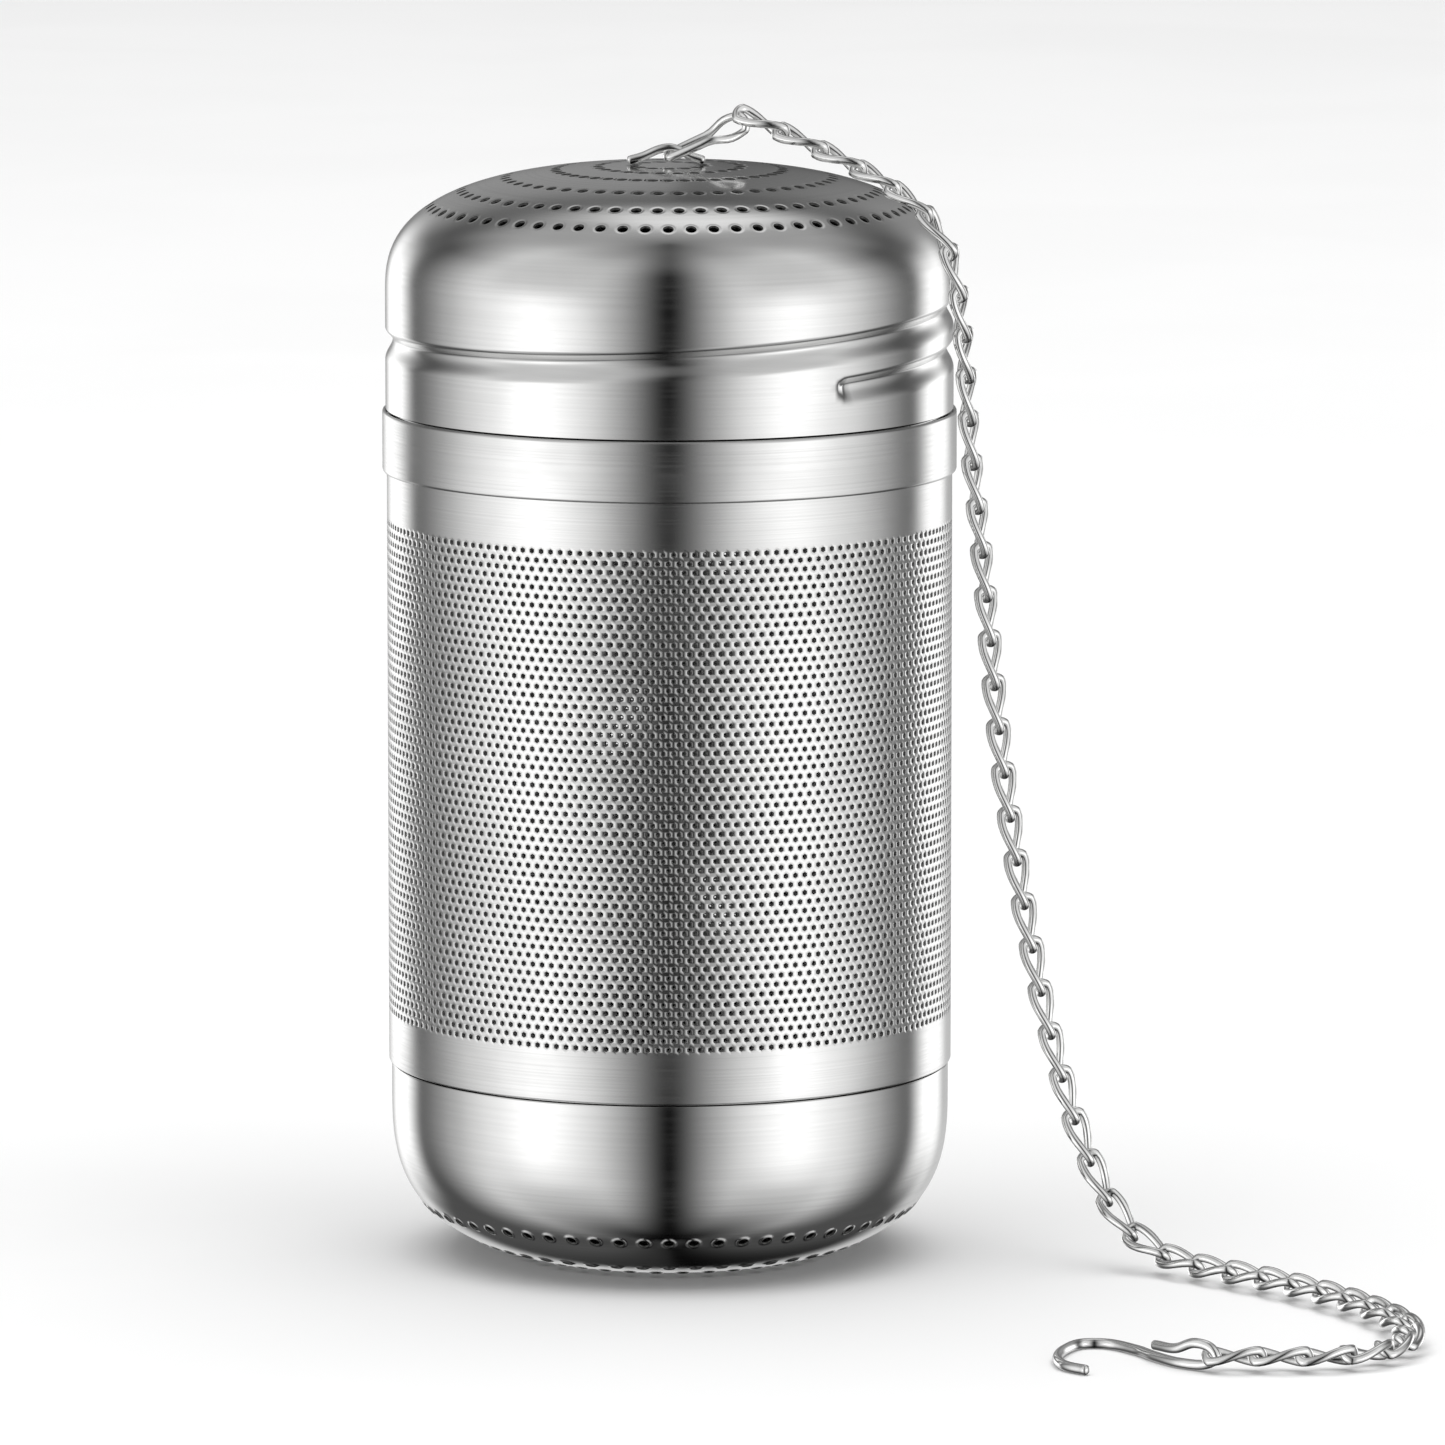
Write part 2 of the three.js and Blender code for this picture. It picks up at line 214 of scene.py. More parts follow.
# ---------------------------------------------------------------------------------------------------------
# Chain. A curb chain: each link is cut wire closed into a loop and twisted a quarter turn, so that it lies
# flat in its neighbours. It runs over the lid, hangs free to the ground, and turns back to the hook.
# ---------------------------------------------------------------------------------------------------------
CHAIN_WIRE = 0.8 * MM
LINK_HALF_LENGTH = 2.5 * MM
LINK_HALF_WIDTH = 1.1 * MM
LINK_TWIST = math.radians(-90.0)
LINK_RINGS = 44
LINK_SIDES = 12
LINK_COUNT = 46
TOP_LINKS = 8
FIRST_LINK_AT = 0.9 * MM
LAST_LINK_FROM_END = 1.05 * MM
BESIDE_LID = 92.0 * MM
LOW = 34.0 * MM
ON_GROUND = 3.0 * MM
HANGING_TURN = math.radians(60.0)
LID_TURN = math.radians(84.0)
LYING_TILT = math.radians(12.0)
CHAIN_ROUTE = MM * np.array([
    [7.6, -0.2, 104.7], [11.4, -1.2, 103.1], [15.0, -2.4, 101.5], [18.4, -4.0, 99.9], [21.7, -6.3, 97.9],
    [24.6, -7.9, 95.2], [25.95, -8.0, 91.2], [26.55, -6.8, 87.2], [26.95, -5.4, 83.2], [27.2, -4.5, 79.0],
    [27.5, -4.2, 74.8], [28.0, -4.2, 70.3], [28.5, -4.3, 65.6], [29.0, -4.4, 60.5], [29.5, -4.6, 55.0],
    [30.0, -4.8, 50.0], [30.6, -5.0, 45.0], [31.3, -5.3, 40.0], [32.1, -5.6, 35.0], [33.0, -5.9, 30.0],
    [34.0, -6.3, 25.0], [35.2, -6.8, 20.0], [36.6, -7.4, 15.0], [38.2, -8.3, 10.5], [40.2, -9.6, 6.2],
    [42.7, -11.5, 3.1], [45.7, -14.1, 1.7], [49.2, -17.6, 1.45], [53.3, -21.8, 1.45], [57.2, -26.6, 1.45],
    [60.6, -31.8, 1.45], [63.4, -37.4, 1.45], [65.3, -43.2, 1.45], [65.6, -49.4, 1.45], [63.2, -54.8, 1.45],
    [58.6, -57.7, 1.45], [53.2, -58.0, 1.45], [48.6, -57.9, 1.45],
])


def smooth_route(points, steps=24):
    """A curve through the points. On each span the four nearest points are blended in pairs, then in threes,
    then in all, each by its distance in a parameter that grows with the square root of the spacing."""
    ends = np.vstack([2.0 * points[0] - points[1], points, 2.0 * points[-1] - points[-2]])
    p = [ends[i:len(points) - 1 + i, None, :] for i in range(4)]
    knots = [np.zeros((len(points) - 1, 1, 1))]
    for a, b in zip(p, p[1:]):
        knots.append(knots[-1] + np.sqrt(np.linalg.norm(b - a, axis=2, keepdims=True)))
    t = knots[1] + (knots[2] - knots[1]) * np.arange(steps)[None, :, None] / steps

    def between(a, b, start, end):
        return ((end - t) * a + (t - start) * b) / (end - start)

    pairs = [between(p[i], p[i + 1], knots[i], knots[i + 1]) for i in range(3)]
    threes = [between(pairs[i], pairs[i + 1], knots[i], knots[i + 2]) for i in range(2)]
    run = between(threes[0], threes[1], knots[1], knots[2])
    return np.vstack([run.reshape(-1, 3), points[-1:]])


def travelled(line):
    """The length along a line of points, at each of them."""
    return np.concatenate([[0.0], np.cumsum(np.linalg.norm(np.diff(line, axis=0), axis=1))])


def along_line(line, places):
    """The points that lie at the given lengths along a line; past an end it goes straight on."""
    so_far = travelled(line)
    inside = np.clip(places, 0.0, so_far[-1])
    found = np.stack([np.interp(inside, so_far, line[:, k]) for k in range(3)], axis=-1)
    ends = np.where((places < 0.0)[..., None], unit(line[1] - line[0]), unit(line[-1] - line[-2]))
    return found + (places - inside)[..., None] * ends


def unit(vectors):
    """Each vector over its length."""
    return vectors / np.maximum(np.linalg.norm(vectors, axis=-1, keepdims=True), 1e-12)


def ease(value, low, high):
    """A smooth step from 0 at low to 1 at high."""
    share = np.clip((value - low) / (high - low), 0.0, 1.0)
    return share * share * (3.0 - 2.0 * share)


def ring_of_rings(rings, sides):
    """Faces of a closed loop of wire: point (i, j) is number i * sides + j, both ways round joined."""
    i, j = np.meshgrid(np.arange(rings), np.arange(sides), indexing="ij")
    i2, j2 = (i + 1) % rings, (j + 1) % sides
    quads = np.stack([i * sides + j, i2 * sides + j, i2 * sides + j2, i * sides + j2], axis=-1)
    return quads.reshape(-1, 4)


def twisted_loop(half_length, half_width, wire, roll, rings, sides):
    """One link: a ring of wire whose sides are drawn out straight by a clipped cosine, with its width rolled
    about its length by an angle that roll gives from the share of the way from one end to the other."""
    u, w = np.meshgrid(
        2.0 * math.pi * np.arange(rings) / rings, 2.0 * math.pi * np.arange(sides) / sides, indexing="ij",
    )
    out = half_width + 0.5 * wire * np.cos(w)
    side = np.clip(1.5 * np.cos(u), -1.0, 1.0)
    x = (half_length - half_width) * side + out * np.cos(u)
    y = out * np.sin(u)
    z = 0.5 * wire * np.sin(w)
    angle = roll(0.5 + 0.5 * x / half_length)
    turned = (x, y * np.cos(angle) - z * np.sin(angle), y * np.sin(angle) + z * np.cos(angle))
    return np.stack(turned, axis=-1).reshape(-1, 3)


def place_loops(shape, centres, along, across):
    """Copies of a shape with its x along each direction, its y as near as can be to each across direction."""
    x = unit(along)
    y = unit(across - np.sum(across * x, axis=-1, keepdims=True) * x)
    z = np.cross(x, y)
    turned = np.einsum("pk,nkc->npc", shape, np.stack([x, y, z], axis=1))
    return (centres[:, None, :] + turned).reshape(-1, 3)


def width_directions(centres, along):
    """The way each link's middle width points: well to the back where the chain hangs, more so against the
    lid, and level but for a small tilt where it lies on the ground, easing from one to the next."""
    turn = HANGING_TURN + (LID_TURN - HANGING_TURN) * ease(centres[:, 2], LOW, BESIDE_LID)
    hanging = np.stack([np.cos(turn), np.sin(turn), 0.0 * turn], axis=-1)
    lying = unit(np.stack([-along[:, 1], along[:, 0], 0.0 * turn], axis=-1))
    lying[:, 2] = math.tan(LYING_TILT)
    return lying + (hanging - lying) * ease(centres[:, 2], ON_GROUND, LOW)[:, None]


def chain_run(name, first, last):
    """Links from number first up to last as one mesh, each a copy of the twisted loop at its own place."""
    places = FIRST_LINK_AT + LINK_PITCH * np.arange(first, last)
    before = along_line(CHAIN_LINE, places - LINK_HALF_LENGTH)
    after = along_line(CHAIN_LINE, places + LINK_HALF_LENGTH)
    centres = (before + after + along_line(CHAIN_LINE, places)) / 3.0
    along = unit(after - before)
    shape = twisted_loop(
        LINK_HALF_LENGTH, LINK_HALF_WIDTH, CHAIN_WIRE, lambda share: LINK_TWIST * (share - 0.5), LINK_RINGS,
        LINK_SIDES,
    )
    points = place_loops(shape, centres, along, width_directions(centres, along))
    quads = ring_of_rings(LINK_RINGS, LINK_SIDES)
    corners = (np.arange(len(places))[:, None, None] * len(shape) + quads[None]).reshape(-1)
    piece = lay_mesh(name, points, corners, np.arange(0, len(corners), 4), [WIRE_STEEL])
    piece.visible_glossy = False
    return piece


def cad_links(first, last):
    """Names of the frame's links that a run stands for."""
    return [f"link_{i:02d}" for i in range(first, last + 1)]


CHAIN_LINE = smooth_route(CHAIN_ROUTE)
CHAIN_LENGTH = travelled(CHAIN_LINE)[-1]
LINK_PITCH = (CHAIN_LENGTH - FIRST_LINK_AT - LAST_LINK_FROM_END) / (LINK_COUNT - 1)
top_run_end = FIRST_LINK_AT + LINK_PITCH * (TOP_LINKS - 1) + LINK_HALF_LENGTH
long_run_start = FIRST_LINK_AT + LINK_PITCH * TOP_LINKS - LINK_HALF_LENGTH
top_path = along_line(CHAIN_LINE, np.linspace(0.0, top_run_end, 30))
long_path = along_line(CHAIN_LINE, np.linspace(long_run_start, CHAIN_LENGTH, 160))

chain_top_run = chain_run("chain_top_run", 0, TOP_LINKS)
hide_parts(*cad_links(1, 6))
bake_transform(chain_top_run)
chain_long_run = chain_run("chain_long_run", TOP_LINKS, LINK_COUNT)
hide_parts(*cad_links(7, 42))
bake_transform(chain_long_run)


# ---------------------------------------------------------------------------------------------------------
# Hook on the chain's free end: one wire bent by hand into a short tail over the shank, an open upright eye
# that the last link hangs in, the shank, and a curled tip. It lies on the ground.
# ---------------------------------------------------------------------------------------------------------
HOOK_WIRE = 0.9 * MM
HOOK_ROUTE = MM * np.array([
    [42.9, -53.2, 1.5], [44.6, -55.6, 1.7], [46.2, -57.0, 2.45], [47.6, -58.0, 2.2], [48.1, -58.3, 1.4],
    [47.2, -57.7, 0.7], [44.9, -56.0, 0.5], [42.9, -53.2, 0.5], [41.4, -50.4, 0.5], [38.9, -47.6, 0.5],
    [36.6, -47.6, 0.5], [35.0, -50.3, 0.5], [34.3, -54.1, 0.5], [34.9, -57.3, 0.5], [36.6, -59.2, 0.5],
])


def wire_along(name, line, diameter, spacing, sides=16, round_steps=4):
    """A round wire along a line, its ends rounded over: at each end the last rings shrink with a cosine while
    they move out with a sine, and close on a point. The section is carried along without twisting."""
    radius = 0.5 * diameter
    reach = 0.7 * radius
    length = travelled(line)[-1]
    body = np.linspace(0.0, length, max(int(length / spacing), 8))
    angle = 0.5 * math.pi * np.arange(round_steps, 0, -1) / (round_steps + 1)
    lead = -reach * np.sin(angle)
    places = np.concatenate([lead, body, length - lead[::-1]])
    sizes = radius * np.concatenate([np.cos(angle), np.ones(len(body)), np.cos(angle[::-1])])
    centres = along_line(line, places)
    tangents = unit(np.gradient(centres, axis=0))
    side = np.empty_like(tangents)
    start = np.cross(tangents[0], [0.0, 0.0, 1.0])
    side[0] = unit(start if np.linalg.norm(start) > 0.2 else np.cross(tangents[0], [1.0, 0.0, 0.0]))
    for i in range(1, len(side)):
        side[i] = unit(side[i - 1] - np.dot(side[i - 1], tangents[i]) * tangents[i])
    other = np.cross(tangents, side)
    w = 2.0 * math.pi * np.arange(sides) / sides
    ring = np.cos(w)[None, :, None] * side[:, None, :] + np.sin(w)[None, :, None] * other[:, None, :]
    skin = (centres[:, None, :] + sizes[:, None, None] * ring).reshape(-1, 3)
    tips = along_line(line, np.array([-reach, length + reach]))
    points = np.vstack([skin, tips])
    i, j = np.meshgrid(np.arange(len(places) - 1), np.arange(sides), indexing="ij")
    j2 = (j + 1) % sides
    quads = np.stack([i * sides + j, i * sides + j2, (i + 1) * sides + j2, (i + 1) * sides + j], axis=-1)
    k, last = np.arange(sides), (len(places) - 1) * sides
    k2 = (k + 1) % sides
    first_tip, last_tip = np.full(sides, len(skin)), np.full(sides, len(skin) + 1)
    ends = np.vstack([
        np.stack([first_tip, k2, k], axis=-1), np.stack([last_tip, last + k, last + k2], axis=-1),
    ])
    corners = np.concatenate([quads.reshape(-1), ends.reshape(-1)])
    starts = np.concatenate([4 * np.arange(quads.size // 4), quads.size + 3 * np.arange(len(ends))])
    return lay_mesh(name, points, corners, starts, [WIRE_STEEL])


hook = wire_along("wire_hook", smooth_route(HOOK_ROUTE), HOOK_WIRE, spacing=0.25 * MM)
hook.visible_glossy = False
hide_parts("chain_hook")
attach(hook, "basket")
tuple(top_path[0])
tuple(long_path[0])


# ---------------------------------------------------------------------------------------------------------
# Base cup: thin stainless sheet drawn into a round-cornered bowl with a small flat to stand on, mirror
# polished, and punched with rings of small drain holes. Its top edge is stepped in and fits in the drum.
# ---------------------------------------------------------------------------------------------------------
CUP_RADIUS = 25.65 * MM
CUP_RISE = 16.0 * MM
CUP_POWER = 3.0
CUP_FLAT = 0.6 * MM
CUP_SHOULDER = 17.8 * MM
SPIGOT_RADIUS = 25.37 * MM
SPIGOT_TOP = 21.5 * MM
SHEET = 0.45 * MM
CUP_HOLE = 0.5 * MM
CUP_HOLE_RINGS = [(3.6, 9), (7.4, 18), (11.0, 28), (14.6, 38), (18.14, 47), (22.77, 63)]
CUP_AROUND = 36
AROUND = 288
BACK = math.pi / 2.0
HOLE_EDGE = 0.35 * MM

# Painted shade: the inner faces of the cup, neck, collar and lid, and the walls of their holes, take steel
# painted near black, which stands in for the shade inside the hollow body.
SHADED_INNER_STEEL = steel("inner_steel_painted_shade", (0.14, 0.14, 0.138, 1.0), (0.09, 0.09, 0.088, 1.0), gloss=0.42,
                    matt=0.6, patch=80.0, around=14.0, across=1600.0, lean=1.0, depth=0.002 * MM)
POLISHED_STEEL = steel("polished_steel", (0.8, 0.8, 0.795, 1.0), (0.7, 0.7, 0.695, 1.0), gloss=0.07,
                       matt=0.17, patch=55.0, around=14.0, across=2600.0, lean=1.0, depth=0.0012 * MM)


def quarter_oval(radius, rise, power, steps=3000):
    """A quarter of a superellipse from the axis outwards: the radius goes with a sine and the rise with a
    cosine, both raised to two over the power, so that a high power gives a flat top and a tight corner."""
    angle = 0.5 * math.pi * np.linspace(0.0, 1.0, steps)
    reach = radius * np.sin(angle) ** (2.0 / power)
    height = rise * np.maximum(np.cos(angle), 0.0) ** (2.0 / power)
    return np.stack([reach, height], axis=-1)


def turned(profile, lift=None):
    """The surface that a profile of radius and height makes turned about Z. Its two parameters are the turn
    from the back, anticlockwise from above, and the length along the profile. Lift moves it outwards."""
    along = travelled(profile)
    slope = np.gradient(profile, along, axis=0)

    def surface(u, v):
        radius, height = np.interp(v, along, profile[:, 0]), np.interp(v, along, profile[:, 1])
        angle = 2.0 * math.pi * u + BACK
        if lift is not None:
            move = lift(angle, v, radius, height)
            radius = radius + move * np.interp(v, along, slope[:, 1])
            height = height - move * np.interp(v, along, slope[:, 0])
        return np.stack([radius * np.cos(angle), radius * np.sin(angle), height], axis=-1)

    return surface


def bands(count, heights):
    """Quads between rings of the same number of points, one ring at each height."""
    i, k = np.meshgrid(np.arange(count), np.arange(len(heights) - 1), indexing="ij")
    low, high = np.asarray(heights)[k], np.asarray(heights)[k + 1]
    left, right = i / count, (i + 1) / count
    quads = [(left, low), (right, low), (right, high), (left, high)]
    return np.stack([np.stack(corner, axis=-1) for corner in quads], axis=-2).reshape(-1, 4, 2)


def joining_strip(low, low_count, high, high_count):
    """Triangles between two rings of different numbers of points. Each edge of one ring meets the point of
    the other that has been reached when the middles of all the edges are taken in order round the axis."""
    i, j = np.arange(low_count), np.arange(high_count)
    low_middles, high_middles = (i + 0.5) / low_count, (j + 0.5) / high_count
    met_high = np.searchsorted(high_middles, low_middles, side="left")
    met_low = np.searchsorted(low_middles, high_middles, side="right")
    zero = np.zeros(low_count)
    up = [
        (i / low_count, zero + low), ((i + 1) / low_count, zero + low), (met_high / high_count, zero + high),
    ]
    zero = np.zeros(high_count)
    down = [
        ((j + 1) / high_count, zero + high), (j / high_count, zero + high), (met_low / low_count, zero + low),
    ]
    return np.concatenate([
        np.stack([np.stack(corner, axis=-1) for corner in side], axis=-2) for side in (up, down)
    ])


def closing_fan(height, count, pole):
    """Triangles from a ring to the point where the profile meets the axis, above it or below it."""
    i = np.arange(count)
    zero = np.zeros(count)
    left, right = np.stack([i / count, zero + height], -1), np.stack([(i + 1) / count, zero + height], -1)
    tip = np.stack([zero, zero + pole], -1)
    return np.stack([left, right, tip] if pole > height else [left, tip, right], axis=1)


def punched_ring(height, number, radius, hole, half):
    """A ring of square tiles, each with a round hole of 16 sides at its middle and two rings of points round
    the hole. Each tile's edge has four points a side, so the ring's two edges have four for each hole."""
    edge = np.array([0.0, 0.5, 1.0, 1.0, 1.0, 1.0, 1.0, 0.5])
    y = np.concatenate([edge, -edge])
    x = np.roll(y, -4)
    angle = 2.0 * math.pi * np.arange(16) / 16
    grow = [1.0, 1.28, 1.7]
    rings = [np.stack([g * hole * np.cos(angle) / (2.0 * math.pi * radius), g * hole * np.sin(angle)], -1)
             for g in grow]
    rings.append(np.stack([x / (2.0 * number), y * half], -1))
    rings = np.array(rings)
    nxt = np.roll(rings, -1, axis=1)
    tile = np.stack([rings[:-1], rings[1:], nxt[1:], nxt[:-1]], axis=2).reshape(-1, 4, 2)
    centres = np.stack([(np.arange(number) + 0.5) / number, np.full(number, height)], -1)
    return (centres[:, None, None, :] + tile[None]).reshape(-1, 4, 2)


def punched_layout(stations, count, rings, half=0.85 * MM, strip=0.35 * MM):
    """Patches that cover a turned surface between its first and last stations: plain bands, and at each ring
    of holes a joining strip and the ring itself, after which the bands keep the ring's number of points."""
    patches, low = [], stations[0]
    for height, number, radius, hole in rings + [(None, 0, 0.0, 0.0)]:
        top = stations[-1] if height is None else height - half - strip
        between = stations[(stations > low + 0.12 * MM) & (stations < top - 0.12 * MM)]
        patches.append(bands(count, [low, *between, top]))
        if height is not None:
            patches.append(joining_strip(top, count, height - half, 4 * number))
            patches.append(punched_ring(height, number, radius, hole, half))
            low, count = height + half, 4 * number
    return patches, count


def face_ways(surface, u, v):
    """Unit normals of a turned surface, from the cross product of its slopes in its two parameters; at the
    axis, where the first slope is nothing, it is straight up or down."""
    du, dv = 2e-5, 0.02 * MM
    round_slope = surface(u + du, v) - surface(u - du, v)
    up_slope = surface(u, v + dv) - surface(u, v - dv)
    ways = np.cross(round_slope, up_slope)
    points = surface(u, v)
    at_pole = np.hypot(points[:, 0], points[:, 1]) < 0.002 * MM
    pole_way = np.sign(points[:, 2:3] - 0.05) * np.array([[0.0, 0.0, 1.0]])
    return np.where(at_pole[:, None], pole_way, unit(ways))


# The inner side and the hole walls take the second material; by default that is the steel painted near black
# as painted shade.
def pressed_shell(name, patches, surface, wall, material, edge_steps=1, edge_bulge=0.0, taper=0.0,
                  edge_tilt=0.0, inner=SHADED_INNER_STEEL):
    """A sheet of the given wall made of patches of (turn, length) corners. Corners that agree are joined, the
    inner face is the outer one moved in along its normals, and every open edge gets a strip across the wall,
    bulged by a half sine. Taper narrows the holes towards the inner face, by moving their inner edge into
    them, and the tilt leans the outer face into them, as etching rounds them. Normals are the surface's own,
    so the facets don't show. The inner side has the second material."""
    sizes = np.concatenate([np.full(len(p), p.shape[1]) for p in patches])
    corners = np.vstack([p.reshape(-1, 2) for p in patches])
    turn = np.floor((corners[:, 0] % 1.0) * 1e6 + 0.3712).astype(np.int64) % 1000000
    length = np.floor(corners[:, 1] * 1e8 + 0.3712).astype(np.int64)
    _, first, number = np.unique(turn * 100000000 + length, return_index=True, return_inverse=True)
    u, v = corners[first, 0], corners[first, 1]
    outer, ways = surface(u, v), face_ways(surface, u, v)
    starts = np.concatenate([[0], np.cumsum(sizes)[:-1]])
    following = np.arange(len(number)) + 1
    following[starts + sizes - 1] = starts
    a, b = number, number[following]
    total = len(u)
    open_edge = ~np.isin(a * total + b, b * total + a)
    a, b = a[open_edge], b[open_edge]
    away = np.zeros((total, 3))
    side = unit(np.cross(outer[b] - outer[a], ways[a] + ways[b]))
    np.add.at(away, a, side)
    np.add.at(away, b, side)
    away = unit(away)
    angles = math.pi * np.arange(edge_steps + 1) / edge_steps
    rows = [outer - ways * wall * 0.5 * (1.0 - math.cos(t)) + away * edge_bulge * math.sin(t) for t in angles]
    hole_edge = np.linalg.norm(outer[b] - outer[a], axis=1) < HOLE_EDGE
    at_hole = np.zeros(total)
    np.add.at(at_hole, a[hole_edge], 0.5)
    np.add.at(at_hole, b[hole_edge], 0.5)
    lean = (edge_tilt * np.floor(at_hole))[:, None]
    outer_ways = np.cos(lean) * ways + np.sin(lean) * away
    rows[-1] = rows[-1] + away * (taper * np.floor(at_hole))[:, None]
    points = np.vstack([rows[0], rows[-1], *rows[1:-1]])
    level = [0] + [2 + k for k in range(edge_steps - 1)] + [1]
    backwards = np.arange(len(number)) - 1
    backwards[starts] = starts + sizes - 1
    order = np.repeat(starts + sizes - 1, sizes) - (np.arange(len(number)) - np.repeat(starts, sizes))
    lists, facing = [number, number[order] + total], [outer_ways[number], -ways[number[order]]]
    tilt = 1.0 if edge_bulge > 0.0 else 0.0
    for low, high, t0, t1 in zip(level, level[1:], angles, angles[1:]):
        strip = np.stack([b + low * total, a + low * total, a + high * total, b + high * total], axis=-1)
        lists.append(strip.reshape(-1))
        edge = [tilt * math.cos(t) * ways[e] + (math.sin(t) if tilt else 1.0) * away[e]
                for e, t in ((b, t0), (a, t0), (a, t1), (b, t1))]
        facing.append(unit(np.stack(edge, axis=1)).reshape(-1, 3))
    strips = np.full(edge_steps * len(a), 4)
    all_sizes = np.concatenate([sizes, sizes, strips])
    used, flat = np.unique(np.concatenate(lists), return_inverse=True)
    all_starts = np.concatenate([[0], np.cumsum(all_sizes)[:-1]])
    inside = np.concatenate([np.zeros(len(sizes)), np.ones(len(sizes)), np.tile(hole_edge, edge_steps)])
    return lay_mesh(name, points[used], flat, all_starts, [material, inner], np.vstack(facing), inside)


def ring_places(profile, rings, hole):
    """Where rings of holes given by radius and number lie along a profile that has a single place for each
    radius up to the widest: (length, number, radius, hole) in order along the profile."""
    along = travelled(profile)
    order = np.argsort(profile[:, 0], kind="stable")
    found = []
    for radius, number in rings:
        place = float(np.interp(radius * MM, profile[order, 0], along[order]))
        found.append((place, number, radius * MM, hole))
    return sorted(found)


def raised_rims(rings, height, width):
    """Lift of a small raised rim round every hole: a bell curve of the distance past the hole's edge."""
    def lift(angle, v, radius, _):
        total = np.zeros_like(v)
        for place, number, ring_radius, hole in rings:
            turn = ((angle - BACK) / (2.0 * math.pi) * number) % 1.0 - 0.5
            side = turn * 2.0 * math.pi * ring_radius / number
            past = (np.hypot(side, v - place) - hole) / width
            total = total + height * np.exp(-past * past)
        return total

    return lift


bowl = quarter_oval(CUP_RADIUS, CUP_RISE, CUP_POWER)
bowl = np.stack([bowl[:, 0], np.maximum(CUP_RISE - bowl[:, 1] - CUP_FLAT, 0.0)], -1)
cup_profile = np.vstack([
    bowl, [[CUP_RADIUS, CUP_SHOULDER - 0.12 * MM], [CUP_RADIUS - 0.05 * MM, CUP_SHOULDER],
           [SPIGOT_RADIUS, CUP_SHOULDER + 0.08 * MM], [SPIGOT_RADIUS, SPIGOT_TOP]],
])
cup_end = travelled(cup_profile)[-1]
bowl_end = travelled(bowl)[-1]
cup_rings = ring_places(bowl, CUP_HOLE_RINGS, CUP_HOLE)
cup_stations = np.concatenate([
    np.arange(1.5 * MM, bowl_end, 0.55 * MM), np.array([bowl_end, bowl_end + 1.0 * MM]),
    np.linspace(cup_end - 4.05 * MM, cup_end - 3.6 * MM, 10), np.array([cup_end - 2.0 * MM, cup_end]),
])
cup_patches, _ = punched_layout(cup_stations, CUP_AROUND, cup_rings)
cup_patches.append(closing_fan(cup_stations[0], CUP_AROUND, 0.0))
base_cup = pressed_shell(
    "pressed_base_cup", cup_patches, turned(cup_profile, raised_rims(cup_rings[-3:], 0.1 * MM, 0.16 * MM)),
    SHEET, POLISHED_STEEL, edge_steps=3, edge_bulge=0.06 * MM,
)
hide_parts("base_cup")
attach(base_cup, "basket")


# ---------------------------------------------------------------------------------------------------------
# Drum: etched micro-perforated stainless sheet rolled into a tube, with a plain brushed margin at each end.
# The holes sit in staggered rows. It is made here as a front half and a back half that meet at the sides.
# ---------------------------------------------------------------------------------------------------------
DRUM_RADIUS = 25.9 * MM
DRUM_WALL = 0.4 * MM
DRUM_BOTTOM = 18.0 * MM
DRUM_TOP = 77.9 * MM
FIRST_ROW = 23.05 * MM
ROW_STEP = 0.8175 * MM
ROWS = 56
HOLES_ROUND = 172
SIEVE_HOLE = 0.268 * MM
SIEVE_TAPER = 0.17 * MM
SIEVE_TILT = math.radians(14.0)

# The drum's inside face and hole walls: a rougher etched finish, which is real, with its colour raised above
# the outer steel's as painted light, so that the walls of the holes read bright.
LIGHTENED_ETCHED_STEEL = steel("etched_steel_painted_light", (0.92, 0.92, 0.915, 1.0), (0.8, 0.8, 0.795, 1.0), gloss=0.4,
                     matt=0.55, patch=120.0, around=14.0, across=1600.0, lean=1.0, depth=0.001 * MM)
BRUSHED_STEEL = steel("brushed_steel", (0.79, 0.79, 0.785, 1.0), (0.66, 0.66, 0.655, 1.0), gloss=0.12,
                      matt=0.26, patch=70.0, around=10.0, across=5200.0, lean=0.0, depth=0.0022 * MM)


def sieve_cells(first, step, rows, number, hole, radius):
    """Six-sided cells of a staggered grid, each with a six-sided hole at its middle: six quads from the
    cell's corners to the hole's. The corners lie a third and two thirds of a row from the middle."""
    pitch = 1.0 / number
    cell = np.array([(0.0, -2.0), (0.5, -1.0), (0.5, 1.0), (0.0, 2.0), (-0.5, 1.0), (-0.5, -1.0)])
    cell = cell * np.array([pitch, step / 3.0])
    angle = math.pi * (np.arange(6) / 3.0 - 0.5)
    ring = np.stack([hole * np.cos(angle) / (2.0 * math.pi * radius), hole * np.sin(angle)], -1)
    quads = np.stack([ring, cell, np.roll(cell, -1, axis=0), np.roll(ring, -1, axis=0)], axis=1)
    j, k = np.meshgrid(np.arange(rows), np.arange(number), indexing="ij")
    centres = np.stack([(k + 0.5 * (j % 2)) * pitch, first + j * step], -1).reshape(-1, 1, 1, 2)
    return (centres + quads[None]).reshape(-1, 4, 2)


